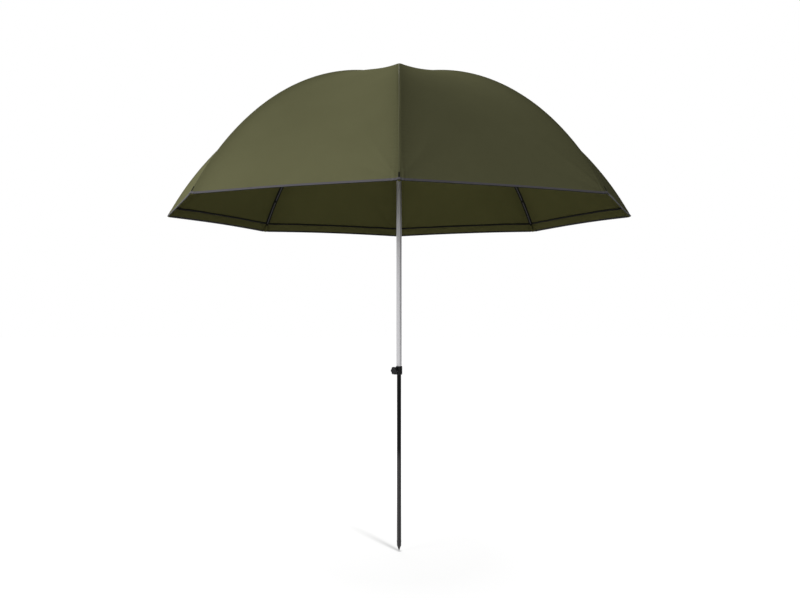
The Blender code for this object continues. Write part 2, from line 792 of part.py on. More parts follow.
def petal_mesh(rows, pivot):
    """The cloth on both sides of the rib along +X, out to the middles of its two panels, as a thin shell."""
    builder = bmesh.new()
    edge_line = np.array([-math.sin(half_panel), math.cos(half_panel), 0])
    layers = []
    for depth in (0, cloth_thickness):
        grid = []
        for row in rows:
            line = []
            for k in range(-panel_columns, panel_columns + 1):
                column = abs(k) / panel_columns / 2
                point = cloth_point(row, column) - cloth_normal(row, column) * depth
                if abs(k) == panel_columns:
                    point -= edge_line * (point @ edge_line + gap / 2)
                side = 1 if k > 0 else -1
                line.append(builder.verts.new((point[0] - pivot[0], side * point[1], point[2] - pivot[1])))
            grid.append(line)
        layers.append(grid)
    outer, inner = layers
    columns = 2 * panel_columns
    last = len(rows) - 1
    for i in range(last):
        for j in range(columns):
            for grid in layers:
                builder.faces.new((grid[i][j], grid[i + 1][j], grid[i + 1][j + 1], grid[i][j + 1]))
    border = [(0, j) for j in range(columns)] + [(i, columns) for i in range(last)]
    border += [(last, j) for j in range(columns, 0, -1)] + [(i, 0) for i in range(last, 0, -1)]
    for (i, j), (k, m) in zip(border, border[1:] + border[:1]):
        builder.faces.new((outer[i][j], outer[k][m], inner[k][m], inner[i][j]))
    bmesh.ops.triangulate(builder, faces=builder.faces)
    return finished(builder)


def make_canopy(cloth):
    """The cloth in a piece for each rib, parted along the stretchers' brackets, where the ribs fold."""
    inner = petal_mesh(inner_shares, crown_pivot)
    outer = petal_mesh(outer_shares, rib_pivot)
    for number, azimuth in enumerate(azimuths, 1):
        put(f"canopy_inner_{number}", inner, cloth, radial(azimuth, *crown_pivot), azimuth)
        put(f"canopy_outer_{number}", outer, cloth, radial(azimuth, *rib_pivot), azimuth)


clear_scene()
aluminium = material("brushed_aluminium", (0.62, 0.62, 0.63), 0.32, 1.0)
black_steel = material("black_painted_steel", (0.02, 0.02, 0.02), 0.3, 0.0)
spring_steel = material("spring_steel", (0.35, 0.35, 0.36), 0.35, 1.0)
black_plastic = material("black_plastic", (0.015, 0.015, 0.015), 0.4)
black_fibre = material("black_glass_fibre", (0.02, 0.02, 0.02), 0.45)
olive_cloth = material("olive_cloth", (0.10, 0.10, 0.055), 0.85)

make_pole(black_steel, black_plastic)
make_mast(aluminium, black_plastic)
make_clamp(black_plastic, spring_steel)
make_crown(black_plastic, spring_steel, olive_cloth)
make_runner(black_plastic, spring_steel)
make_ribs(spring_steel, black_fibre)
make_stretchers(spring_steel)
make_canopy(olive_cloth)
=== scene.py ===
"""The looks of an olive fishing umbrella that stands open on its ground spike.

Metres. +Z runs up the pole from the spike's point, and the first rib points to -Y, towards the camera.
"""

import math

import bmesh
import bpy
import numpy as np
from mathutils import Matrix, Vector


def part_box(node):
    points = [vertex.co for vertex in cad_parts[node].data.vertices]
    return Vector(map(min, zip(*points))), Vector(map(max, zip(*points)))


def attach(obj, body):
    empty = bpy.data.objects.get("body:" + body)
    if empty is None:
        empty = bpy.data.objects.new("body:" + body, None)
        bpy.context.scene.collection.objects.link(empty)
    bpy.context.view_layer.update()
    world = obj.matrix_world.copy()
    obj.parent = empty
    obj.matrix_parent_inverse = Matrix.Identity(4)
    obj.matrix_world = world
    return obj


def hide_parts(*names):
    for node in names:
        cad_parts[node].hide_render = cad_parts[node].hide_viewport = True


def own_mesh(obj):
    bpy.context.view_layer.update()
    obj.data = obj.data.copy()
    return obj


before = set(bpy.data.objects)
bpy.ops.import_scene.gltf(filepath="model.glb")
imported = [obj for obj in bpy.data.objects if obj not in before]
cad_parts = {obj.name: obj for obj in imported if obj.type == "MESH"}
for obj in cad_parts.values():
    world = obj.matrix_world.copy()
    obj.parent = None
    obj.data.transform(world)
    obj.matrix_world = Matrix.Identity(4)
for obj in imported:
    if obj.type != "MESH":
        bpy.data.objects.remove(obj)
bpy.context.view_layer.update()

# The studio is a white room with a pale floor. A camera at chest height looks level at the pole, a wide softbox
# lights the cloth from the left, others light it from high behind and, weakly, from the front, and a grey card
# stands on the right.
scene = bpy.context.scene
scene.view_settings.view_transform = "Standard"
camera = bpy.data.objects.new("camera", bpy.data.cameras.new("camera"))
scene.collection.objects.link(camera)
camera.data.sensor_width = 36
camera.data.lens = 34.11
camera.data.shift_x = 0.0012
camera.location = (0, -3.596, 1.190)
camera.rotation_euler = (math.radians(90), 0, 0)
scene.camera = camera

for name, place, aim_height, size, power in (
    ("left_softbox", (-5.4, -3.1, 2.8), 1.9, 2.6, 348),
    ("front_softbox", (1.2, -5.0, 3.2), 1.7, 2.0, 54),
    ("back_softbox", (-1.0, 3.0, 5.4), 1.9, 2.6, 310),
):
    softbox = bpy.data.objects.new(name, bpy.data.lights.new(name, "AREA"))
    scene.collection.objects.link(softbox)
    softbox.data.size, softbox.data.energy = size, power
    softbox.visible_camera = softbox.visible_glossy = False
    softbox.location = place
    softbox.rotation_euler = (Vector((0, 0, aim_height)) - Vector(place)).to_track_quat("-Z", "Y").to_euler()

world = bpy.data.worlds.new("white_room")
scene.world = world
world.use_nodes = True
nodes, links = world.node_tree.nodes, world.node_tree.links
nodes.clear()
room_light, room_white = nodes.new("ShaderNodeBackground"), nodes.new("ShaderNodeBackground")
for background, strength in ((room_light, 0.22), (room_white, 1.0)):
    background.inputs["Color"].default_value = (1, 1, 1, 1)
    background.inputs["Strength"].default_value = strength
rays = nodes.new("ShaderNodeLightPath")
first_two, seen = nodes.new("ShaderNodeMath"), nodes.new("ShaderNodeMath")
first_two.operation = seen.operation = "MAXIMUM"
room = nodes.new("ShaderNodeMixShader")
room_out = nodes.new("ShaderNodeOutputWorld")
for source, target in (
    (rays.outputs["Is Camera Ray"], first_two.inputs[0]), (rays.outputs["Is Glossy Ray"], first_two.inputs[1]),
    (first_two.outputs[0], seen.inputs[0]), (rays.outputs["Is Transmission Ray"], seen.inputs[1]),
    (seen.outputs[0], room.inputs["Fac"]), (room_light.outputs[0], room.inputs[1]),
    (room_white.outputs[0], room.inputs[2]), (room.outputs[0], room_out.inputs["Surface"]),
):
    links.new(source, target)


class Finish:
    """A Principled material that is built up node by node."""

    def __init__(self, name, colour, roughness, **values):
        self.material = bpy.data.materials.new(name)
        self.material.use_nodes = True
        self.nodes, self.links = self.material.node_tree.nodes, self.material.node_tree.links
        self.shader = self.nodes["Principled BSDF"]
        for socket, value in {"Base Color": (*colour, 1), "Roughness": roughness, **values}.items():
            self.shader.inputs[socket.replace("_", " ")].default_value = value

    def feed(self, socket, value):
        if isinstance(value, bpy.types.NodeSocket):
            self.links.new(value, socket)
        elif value is not None:
            socket.default_value = value

    def node(self, kind, fed=(), **settings):
        made = self.nodes.new("ShaderNode" + kind)
        for key, value in settings.items():
            setattr(made, key, value)
        for key, value in dict(fed).items():
            self.feed(made.inputs[key], value)
        return made

    def sums(self, operation, *values, clamp=False):
        return self.node("Math", enumerate(values), operation=operation, use_clamp=clamp).outputs[0]

    def scaled(self, value, by, plus=0.0):
        return self.sums("MULTIPLY_ADD", value, by, plus)

    def ripple(self, way, length, shift=0.0):
        """A sine wave of a length along a way."""
        return self.sums("SINE", self.scaled(way, 2 * math.pi / length, shift))

    def between(self, value, low, high, first=0.0, last=1.0):
        """The value's place between low and high, carried over to first and last."""
        return self.node("MapRange", enumerate((value, low, high, first, last))).outputs[0]

    def mixed(self, share, first, second):
        first, second = ((*end, 1) if isinstance(end, tuple) else end for end in (first, second))
        return self.node("Mix", {0: share, 6: first, 7: second}, data_type="RGBA").outputs[2]

    def place(self, scale=(1, 1, 1)):
        """Object coordinates, stretched by a scale."""
        source = self.node("TexCoord").outputs["Object"]
        return source if scale == (1, 1, 1) else self.node("Mapping", {"Vector": source, "Scale": scale}).outputs[0]

    def parts(self, vector):
        return tuple(self.node("SeparateXYZ", {"Vector": vector}).outputs)

    def cloth_map(self):
        """The cloth's own map, in metres across and along the rib."""
        return self.parts(self.node("UVMap", uv_map="cloth").outputs[0])[:2]

    def noise(self, scale, detail=3.0, roughness=0.5, stretch=(1, 1, 1)):
        fed = {"Vector": self.place(stretch), "Scale": scale, "Detail": detail, "Roughness": roughness}
        return self.node("TexNoise", fed).outputs["Fac"]

    def use(self, socket, source):
        self.links.new(source, self.shader.inputs[socket])

    def bumped(self, *bumps):
        """Bumps, one laid over the other, each given by its height, strength and distance."""
        normal = None
        for height, strength, distance in bumps:
            fed = {"Height": height, "Strength": strength, "Distance": distance, "Normal": normal}
            normal = self.node("Bump", fed).outputs[0]
        self.use("Normal", normal)


pale = Finish("pale_floor", (0.80, 0.80, 0.79), 0.9, Specular_IOR_Level=0.0)
# a faint painted shadow runs back to the left from the pole's foot and fades within half a metre
turned_place = pale.node("Mapping", {"Vector": pale.place(), "Rotation": (0, 0, math.radians(-122.7))}).outputs[0]
along, across = pale.parts(turned_place)[:2]
ahead = pale.sums("MAXIMUM", along, 0.0)
spread = pale.scaled(ahead, 0.055, 0.010)
side = pale.sums("POWER", pale.sums("ABSOLUTE", pale.sums("DIVIDE", across, spread)), 2.0)
fade = pale.sums("EXPONENT", pale.scaled(ahead, -4.5, pale.scaled(side, -1.0)))
shade = pale.scaled(fade, pale.sums("GREATER_THAN", along, -0.012))
# the floor is a little under white round the foot, so that real shadows show there, and white beyond a metre
from_foot = pale.node("VectorMath", {0: pale.place()}, operation="LENGTH").outputs["Value"]
paleness = pale.between(from_foot, 0.4, 1.1, 0.90, 1.0)
floor_white = pale.node("Emission", {"Strength": pale.scaled(shade, -0.42, paleness)})
floor_thin = pale.node("MixShader", {0: 0.16, 2: pale.shader.outputs[0]})
floor_lit = pale.node("AddShader", {0: floor_white.outputs[0], 1: floor_thin.outputs[0]})
floor_rays = pale.node("LightPath").outputs
floor_seen = pale.sums("MAXIMUM", floor_rays["Is Camera Ray"], floor_rays["Is Transmission Ray"])
floor_seen = pale.sums("MAXIMUM", floor_seen, floor_rays["Is Glossy Ray"])
floor_mix = pale.node("MixShader", {0: floor_seen, 1: pale.shader.outputs[0], 2: floor_lit.outputs[0]})
pale.feed(pale.nodes["Material Output"].inputs["Surface"], floor_mix.outputs[0])
grey = Finish("grey_card", (0.12, 0.12, 0.12), 0.9)
mirrored = grey.node("LightPath").outputs["Is Glossy Ray"]
grey.use("Emission Strength", grey.scaled(mirrored, 0.20))
for name, finish, corners in (
    ("floor", pale, [(-20, -20, 0), (20, -20, 0), (20, 20, 0), (-20, 20, 0)]),
    ("grey_card", grey, [(2.9, -4.2, 0.01), (2.9, 2.0, 0.01), (2.9, 2.0, 3.2), (2.9, -4.2, 3.2)]),
):
    flat_mesh = bpy.data.meshes.new(name)
    flat_mesh.from_pydata(corners, [], [(0, 1, 2, 3)])
    flat_mesh.materials.append(finish.material)
    item = bpy.data.objects.new(name, flat_mesh)
    item.visible_camera = name == "floor"
    scene.collection.objects.link(item)


# The lower tube is drawn steel, 20 mm across, painted black. A turned steel point closes its foot and is held by a
# rivet across it, and a moulded plug in its top runs inside the mast.
def skin(grid, around=False, uv=None, smooth=34):
    """A mesh over a grid of points: neighbours along both of its directions make a face, and with around the last
    column meets the first. Points that coincide become one, and the faces are turned outwards."""
    rows, columns = grid.shape[:2]
    index = np.arange(rows * columns).reshape(rows, columns)
    if around:
        index = np.column_stack([index, index[:, 0]])
    faces = np.stack([index[:-1, :-1], index[:-1, 1:], index[1:, 1:], index[1:, :-1]], axis=-1).reshape(-1, 4)
    return joined_up(grid.reshape(-1, 3), faces, None if uv is None else uv.reshape(-1, 2), smooth)


def joined_up(points, faces, uv=None, smooth=34, kinds=None):
    """A mesh of points and faces, without doubles or loose edges, with its faces turned outwards and its sharp
    edges kept."""
    mesh = bpy.data.meshes.new("surface")
    mesh.from_pydata(np.asarray(points).tolist(), [], faces.tolist() if isinstance(faces, np.ndarray) else faces)
    if uv is not None:
        mesh.uv_layers.new(name="cloth").data.foreach_set("uv", uv[faces.ravel()].astype(np.float32).ravel())
    if kinds is not None:
        mesh.polygons.foreach_set("material_index", np.asarray(kinds, np.int32))
    builder = bmesh.new()
    builder.from_mesh(mesh)
    bmesh.ops.remove_doubles(builder, verts=builder.verts, dist=2e-7)
    loose = [edge for edge in builder.edges if not edge.link_faces]
    bmesh.ops.delete(builder, geom=loose, context="EDGES")
    bmesh.ops.recalc_face_normals(builder, faces=builder.faces)
    builder.to_mesh(mesh)
    builder.free()
    mesh.shade_smooth()
    mesh.set_sharp_from_angle(angle=math.radians(smooth))
    return mesh


def eased(outline, ease, steps=5):
    """The closed outline with each corner off the axis eased: a quadratic curve from the point a little before the
    corner to the point as far after it, with the corner itself as its handle."""
    corner = np.array(outline, float)
    before, after = np.roll(corner, 1, 0) - corner, np.roll(corner, -1, 0) - corner
    lengths = np.linalg.norm(before, axis=1), np.linalg.norm(after, axis=1)
    reach = np.minimum(ease, 0.45 * np.minimum(*lengths)) * (corner[:, 0] > 1e-9)
    first = corner + before * (reach / lengths[0])[:, None]
    last = corner + after * (reach / lengths[1])[:, None]
    t = np.linspace(0, 1, steps)[None, :, None]
    curve = (1 - t) ** 2 * first[:, None] + 2 * t * (1 - t) * corner[:, None] + t**2 * last[:, None]
    return curve.reshape(-1, 2)


def even_turns(count):
    """Even steps once round, in radians."""
    return np.linspace(0, 2 * math.pi, count, endpoint=False)


def pointing_out(azimuth, height):
    """The matrix that lays a solid made along +Z so that it points out from the pole."""
    return Matrix.Translation((0, 0, height)) @ Matrix.Rotation(azimuth, 4, "Z") @ Matrix.Rotation(math.pi / 2, 4, "Y")


def carried_round(radius, height, turn, smooth=34, place=Matrix()):
    """A surface round Z, laid at a place: each of its points lies at its radius, its height and its turn."""
    grid = np.stack([radius * np.cos(turn), radius * np.sin(turn), height + 0 * turn], axis=-1)
    mesh = skin(grid, around=True, smooth=smooth)
    mesh.transform(place)
    return mesh


def turned(outline, ease=0.0, sides=72, place=Matrix(), level=0.0):
    """A turned solid: a closed outline of (radius, height over a level) points with eased corners, carried once
    round Z."""
    profile = np.array(outline, float) + (0, level)
    profile = eased(profile, ease) if ease else profile
    profile = np.vstack([profile, profile[:1]])
    turn = even_turns(sides)
    return carried_round(profile[:, :1], profile[:, 1:], turn, place=place)


def pipe(inner, outer, low, high):
    """The outline of a pipe, or of a plain rod where its inner radius is 0."""
    return [(inner, low), (outer, low), (outer, high), (inner, high)]


def show(name, mesh, finishes, body, *nodes, slot):
    """One finished piece, which rides on a body and stands for its CAD nodes."""
    for finish in finishes if isinstance(finishes, tuple) else (finishes,):
        mesh.materials.append(finish.material)
    piece = bpy.data.objects.new(name, mesh)
    scene.collection.objects.link(piece)
    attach(piece, body)
    if nodes:
        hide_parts(*nodes)
    return piece


paint = Finish("black_paint", (0.004, 0.004, 0.0045), 0.24, Specular_IOR_Level=0.10)
height = paint.parts(paint.place())[2]
scuff = paint.noise(2.6, 6.0, 0.65, (150, 150, 16))
# below about half a metre the paint is a lighter grey and rougher, and just above the point lighter still
lower_share = paint.between(paint.scaled(scuff, 0.06, height), 0.515, 0.455)
foot_share = paint.between(paint.scaled(paint.between(height, 0.14, 0.0), 0.17, scuff), 0.70, 0.76)
lightened = paint.scaled(lower_share, paint.between(scuff, 0.2, 0.8, 0.75, 1.0))
toned = paint.mixed(lightened, (0.003, 0.003, 0.0034), (0.052, 0.050, 0.052))
paint.use("Base Color", paint.mixed(paint.scaled(foot_share, 0.6), toned, (0.11, 0.105, 0.095)))
paint.use("Roughness", paint.scaled(scuff, 0.10, paint.between(lower_share, 0, 1, 0.17, 0.36)))
paint.bumped((paint.noise(420.0, 2.0), 0.05, 0.0004))

moulded = Finish("moulded_black", (0.006, 0.006, 0.0065), 0.34, Specular_IOR_Level=0.16)
moulded.use("Roughness", moulded.scaled(moulded.noise(60.0), 0.20, 0.24))
moulded.use("Base Color", moulded.mixed(moulded.noise(35.0, 4.0), (0.005, 0.005, 0.0055), (0.011, 0.011, 0.012)))
moulded.bumped((moulded.noise(2400.0, 2.0), 0.10, 0.0001))

zinc = Finish("zinc_plate", (0.50, 0.50, 0.52), 0.32, Metallic=1.0)
spangle = zinc.node("TexVoronoi", {"Vector": zinc.place(), "Scale": 700.0}).outputs["Distance"]
zinc.use("Roughness", zinc.scaled(spangle, 0.22, 0.24))
zinc.use("Base Color", zinc.mixed(zinc.noise(90.0, 4.0), (0.42, 0.42, 0.44), (0.58, 0.58, 0.59)))

pole_foot, pole_head = (corner[2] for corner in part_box("ground_pole"))
tube = pipe(0.0088, 0.0100, pole_foot, pole_head)
show("lower_tube", turned(tube, 0.0005), paint, "ground_pole", "ground_pole", slot="black_steel")
point = [(0, 0), (0.0100, 0.0268), (0.0100, 0.0280), (0.0085, 0.0283), (0.0085, 0.0620), (0, 0.0620)]
show("steel_point", turned(point, 0.0006), paint, "ground_pole", "ground_spike", slot="black_steel")
rivet = [(0, -0.0112), (0.0022, -0.0111), (0.0035, -0.0106), (0.0035, -0.0103), (0.0020, -0.0103)]
rivet += [(radius, -height) for radius, height in reversed(rivet)]
rivet_mesh = turned(rivet, 0.0003, 32, pointing_out(0, 0.046))
show("point_rivet", rivet_mesh, zinc, "ground_pole", "spike_rivet", slot="black_steel")
plug = [(0, -0.022), (0.0085, -0.022), (0.0085, 0.0003), (0.0110, 0.0003), (0.0110, 0.0053), (0, 0.0053)]
plug_mesh = turned(plug, 0.0006, level=pole_head)
show("guide_plug", plug_mesh, moulded, "ground_pole", "pole_plug", slot="black_plastic")


# The mast is a drawn aluminium tube, 25 mm across, left bare with a satin surface, and draw lines run along it. A
# hole for the runner's catch is drilled near its top, and a moulded bush in its foot guides the lower tube.
def worked(mesh, others=(), operation="DIFFERENCE", ease=0.0, smooth=34):
    """The mesh with others cut out of it or joined to it, and with its sharp edges eased."""
    body = bpy.data.objects.new("worked", mesh)
    scene.collection.objects.link(body)
    helpers = []
    for other in others:
        helper = bpy.data.objects.new("tool", other)
        scene.collection.objects.link(helper)
        step = body.modifiers.new("cut", "BOOLEAN")
        step.object, step.operation, step.solver = helper, operation, "EXACT"
        helpers.append(helper)
    if ease:
        step = body.modifiers.new("ease", "BEVEL")
        step.width, step.segments, step.limit_method, step.angle_limit = ease, 3, "ANGLE", math.radians(40)
    bpy.context.view_layer.update()
    made = bpy.data.meshes.new_from_object(body.evaluated_get(bpy.context.evaluated_depsgraph_get()))
    for item in [body, *helpers]:
        bpy.data.objects.remove(item, do_unlink=True)
    made.shade_smooth()
    made.set_sharp_from_angle(angle=math.radians(smooth))
    return made


satin = Finish("satin_aluminium", (0.50, 0.50, 0.51), 0.30, Metallic=1.0)
draw_lines = satin.noise(1.6, 4.0, 0.5, (900, 900, 3))
handled = satin.noise(9.0, 5.0, 0.6)
satin.use("Base Color", satin.mixed(draw_lines, (0.53, 0.525, 0.54), (0.635, 0.63, 0.645)))
satin.use("Roughness", satin.scaled(handled, 0.10, satin.scaled(draw_lines, 0.10, 0.33)))
satin.bumped((draw_lines, 0.08, 0.0001))

mast_foot, mast_head = (corner[2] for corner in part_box("mast_tube"))
runner_low, runner_high = (corner[2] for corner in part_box("runner"))
runner_level = runner_high - 0.006
catch_turn = math.radians(-67.5)
mast_mesh = turned(pipe(0.0113, 0.0125, mast_foot, mast_head), 0.0004)
drill = turned(pipe(0, 0.0033, 0.009, 0.015), 0, 32, pointing_out(catch_turn, runner_level - 0.031))
show("upper_tube", worked(mast_mesh, [drill]), satin, "mast", "mast_tube", slot="aluminium_tube")
bush = [(0.0103, -0.0015), (0.0122, -0.0015), (0.0122, -0.0003), (0.0110, -0.0003), (0.0110, 0.0450), (0.0103, 0.0450)]
show("foot_bush", turned(bush, 0.0002, level=mast_foot), moulded, "mast", "mast_bush", slot="black_plastic")


# The clamp is a moulded black collar, pressed on the mast's foot, with a boss to the front left. A nut is held in
# the boss, and the lobed knob's zinc-plated stud runs through it onto the lower tube.
collar_low, collar_high = (corner[2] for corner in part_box("clamp_collar"))
clamp_turn = math.radians(225)
clamp = pointing_out(clamp_turn, (collar_low + collar_high) / 2)
collar = [(0.0103, collar_low), (0.0143, collar_low), (0.0155, collar_low + 0.003), (0.0155, collar_high - 0.0022)]
collar += [(0.0146, collar_high), (0.0128, collar_high), (0.0128, collar_high - 0.013), (0.0103, collar_high - 0.013)]
boss = [(0, 0.0118), (0.0096, 0.0118), (0.0088, 0.0225), (0, 0.0225)]
pole_room = turned(pipe(0, 0.0103, collar_low - 0.01, collar_high), 0, 96)
stud_room = turned(pipe(0, 0.0033, 0.005, 0.030), 0, 40, clamp)
clamp_mesh = worked(turned(collar, 0.0009, 96), [turned(boss, 0.0008, 64, clamp)], "UNION")
clamp_mesh = worked(clamp_mesh, [pole_room, stud_room])
show("clamp_body", clamp_mesh, moulded, "mast", "clamp_collar", slot="black_plastic")
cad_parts["clamp_nut"].data.materials.clear()
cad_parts["clamp_nut"].data.materials.append(zinc.material)

# the knob's radius at each level falls off into six hollows round it; levels near its hub have none
knob_profile = np.array([
    (0.0228, 0, 0), (0.0228, 0.0088, 0), (0.0234, 0.0095, 0), (0.0250, 0.0094, 0), (0.0262, 0.0100, 0.1),
    (0.0263, 0.0166, 0.8), (0.0266, 0.0182, 1), (0.0272, 0.0190, 1), (0.0284, 0.01945, 1), (0.0350, 0.0193, 1),
    (0.0370, 0.0186, 1), (0.0380, 0.0172, 1), (0.0383, 0.0155, 0.9), (0.0381, 0.0120, 0.4), (0.0375, 0.0102, 0.1),
    (0.0366, 0.0092, 0), (0.0364, 0.0070, 0), (0.0371, 0.0062, 0), (0.0374, 0.0045, 0), (0.0375, 0, 0),
])
turn = even_turns(144)
level, reach, lobes = knob_profile[:, :1], knob_profile[:, 1:2], knob_profile[:, 2:]
reach = np.maximum(reach - lobes * 0.0028 * ((1 + np.cos(6 * turn)) / 2) ** 1.6, 0)
knob_mesh = carried_round(reach, level, turn, 48, clamp)
show("lobed_knob", knob_mesh, moulded, "clamp_knob", "clamp_knob", slot="black_plastic")
# the stud's thread: its radius rises and falls once a millimetre along it, a turn further on for each turn round it
turn = even_turns(24)
level = np.concatenate([[0.0103], np.linspace(0.0103, 0.0203, 121), [0.0205, 0.0330, 0.0330]])[:, None]
tooth = np.abs((level / 0.001 - turn / (2 * math.pi)) % 1 * 2 - 1)
reach = np.where(level < 0.0204, 0.0026 + 0.0004 * tooth, 0.0030)
reach[[0, -1]] = 0
stud_mesh = carried_round(reach, level, turn, place=clamp)
show("knob_stud", stud_mesh, zinc, "clamp_knob", "clamp_stud", slot="zinc_steel")


# The crown is a moulded hub in the mast's top, slotted for the eight ribs, which turn on a bent ring of wire. A
# moulded button holds the cloth's rosette down on it.
def bent_ring(reach, radius, level):
    """A closed ring of wire. Its centre line runs straight across each rib, at the ring's reach, and is drawn in at
    the bends between them; a small circle is carried round it."""
    turn = np.linspace(0, 2 * math.pi, 129)[:, None]
    off = (turn + math.pi / 8) % (math.pi / 4) - math.pi / 8
    around = even_turns(16)
    out = np.minimum(reach / np.cos(off), reach * 1.062) + radius * np.cos(around)
    return carried_round(out, level + radius * np.sin(around), turn, 60)


def slab(low, high, turn=0.0):
    """A plain box between two corners, turned about the pole, which serves as a cutter or is eased later."""
    points = np.array([(x, y, z) for x in (low[0], high[0]) for y in (low[1], high[1]) for z in (low[2], high[2])])
    sides = [(0, 1, 3, 2), (4, 6, 7, 5), (0, 4, 5, 1), (2, 3, 7, 6), (0, 2, 6, 4), (1, 5, 7, 3)]
    mesh = joined_up(points, sides)
    mesh.transform(Matrix.Rotation(turn, 4, "Z"))
    return mesh


rib_turns = [math.radians(45 * k - 90) for k in range(8)]
rib_level = (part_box("crown_wire")[0][2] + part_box("crown_wire")[1][2]) / 2
crown_reach = 0.024
hub = [(0, mast_head - 0.0257), (0.0100, mast_head - 0.0257), (0.0110, mast_head - 0.0240)]
hub += [(0.0110, mast_head + 0.0003), (0.0125, mast_head + 0.0003), (0.0140, rib_level - 0.0050)]
hub += [(0.0280, rib_level - 0.0050), (0.0280, rib_level + 0.0020), (0.0060, rib_level + 0.0020)]
hub += [(0.0060, rib_level + 0.0180), (0, rib_level + 0.0180)]
rib_slots = [slab((0.0195, -0.0021, rib_level - 0.008), (0.034, 0.0021, rib_level + 0.006), turn) for turn in rib_turns]
hub_mesh = worked(turned(hub, 0.0008, 96), rib_slots + [bent_ring(crown_reach, 0.0018, rib_level)])
show("crown_hub", hub_mesh, moulded, "mast", "crown", slot="black_plastic")
show("crown_ring", bent_ring(crown_reach, 0.0012, rib_level), zinc, "mast", "crown_wire", slot="zinc_steel")
cap_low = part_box("crown_cap")[0][2]
hollow = rib_level + 0.0183 - cap_low
button = [(0.0063, 0), (0.0190, 0), (0.0200, 0.0012), (0.0198, 0.0034), (0.0184, 0.0066), (0.0153, 0.0096)]
button += [(0.0108, 0.0119), (0.0055, 0.0128), (0, 0.0130), (0, hollow), (0.0063, hollow)]
button_mesh = turned(button, 0.0012, 96, level=cap_low)
show("crown_button", button_mesh, moulded, "mast", "crown_cap", slot="black_plastic")


# The runner is a moulded sleeve that slides on the mast. The stretchers hook on a ring of wire in its slotted
# flange, and a lever with a leaf spring under its tail catches in the mast's hole.
def blank(outline, low, high, ease):
    """A flat blank: an outline of (out, up) points carried across from low to high, with its edges eased."""
    count = len(outline)
    points = [(x, side, z) for side in (low, high) for x, z in outline]
    around = [(k, (k + 1) % count, count + (k + 1) % count, count + k) for k in range(count)]
    ends = [tuple(range(count)), tuple(range(2 * count - 1, count - 1, -1))]
    return worked(joined_up(points, around + ends), ease=ease, smooth=45)


sleeve = [(0.0129, runner_low), (0.0164, runner_low), (0.0175, runner_low + 0.0012), (0.0175, runner_high - 0.0150)]
sleeve += [(0.0195, runner_high - 0.0120), (0.0300, runner_high - 0.0120), (0.0300, runner_high), (0.0129, runner_high)]
catch_level = runner_level - 0.046
ears = [
    slab((0.0145, low, catch_level - 0.0038), (0.02655, low + 0.0025, catch_level + 0.0038), catch_turn)
    for low in (-0.0078, 0.0053)
]
strut_slots = [
    slab((0.0215, -0.0029, runner_high - 0.0132), (0.034, 0.0029, runner_high + 0.002), turn) for turn in rib_turns
]
window = slab((0.0105, -0.0029, runner_level - 0.0353), (0.0195, 0.0029, runner_level - 0.0267), catch_turn)
runner_mesh = worked(turned(sleeve, 0.0009, 96), ears, "UNION")
runner_reach = 0.0265
runner_mesh = worked(runner_mesh, strut_slots + [window, bent_ring(runner_reach, 0.0018, runner_level)])
show("runner_sleeve", runner_mesh, moulded, "runner", "runner", slot="black_plastic")
show("runner_ring", bent_ring(runner_reach, 0.0012, runner_level), zinc, "runner", "runner_wire", slot="zinc_steel")
lever = [(-0.0015, -0.0200), (0.0026, -0.0200), (0.0032, -0.0170), (0.0017, -0.0100), (0.0015, 0.0150)]
lever += [(0.0008, 0.0200), (-0.0015, 0.0200), (-0.0015, 0.0020), (-0.0024, -0.0020), (-0.0015, -0.0060)]
nose_mesh = turned(pipe(0, 0.0023, -0.0099, -0.0008), 0.0008, 32, pointing_out(0, 0.015))
lever_mesh = worked(blank(lever, -0.005, 0.005, 0.0006), [nose_mesh], "UNION")
at_catch = Matrix.Rotation(catch_turn, 4, "Z") @ Matrix.Translation((0.0228, 0, catch_level))
lever_mesh.transform(at_catch)
show("catch_lever", lever_mesh, moulded, "runner_catch", "runner_catch", slot="black_plastic")
pin_mesh = turned(pipe(0, 0.0012, -0.0080, 0.0080), 0.0004, 24, at_catch @ Matrix.Rotation(math.pi / 2, 4, "X"))
show("lever_pin", pin_mesh, zinc, "runner", "catch_pin", slot="zinc_steel")
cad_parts["catch_spring"].data.materials.clear()
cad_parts["catch_spring"].data.materials.append(zinc.material)

# The ribs run from the crown to the rim. Each is a black coated steel wire as far as the stretcher's bracket and a
# black glass-fibre rod beyond it, with a moulded cap on its end; the bracket is bent from black coated strip.
rib_reach, rib_foot, rib_slope_end, split = 1.10, 1.5842, math.radians(61.1), 0.40
wire_depth, rod_depth = 0.0057, 0.0052


def rib_slope(share):
    """The rib's slope at a share of its length: it grows from level to its end slope, a little faster at first."""
    return rib_slope_end * (share + 0.078 * share * (1 - share**2))


curve = np.linspace(0, 1.04, 1041)
way = np.stack([np.cos(rib_slope(curve)), np.sin(rib_slope(curve))])
run, fall = np.cumsum(np.pad((way[:, 1:] + way[:, :-1]) / 2, ((0, 0), (1, 0))), axis=1) / 1000
rib_length = (rib_reach - crown_reach) / run[1000]
rib_top = rib_foot + rib_length * fall[1000]


def rib_line(share, depth=0.0):
    """Radius and height of the cloth on the rib, found by adding up the rib's slope from the crown, or of a point
    below it by a depth square to it."""
    slope = rib_slope(np.asarray(share, float))
    radius = crown_reach + rib_length * np.interp(share, curve, run) - depth * np.sin(slope)
    return radius, rib_top - rib_length * np.interp(share, curve, fall) - depth * np.cos(slope)


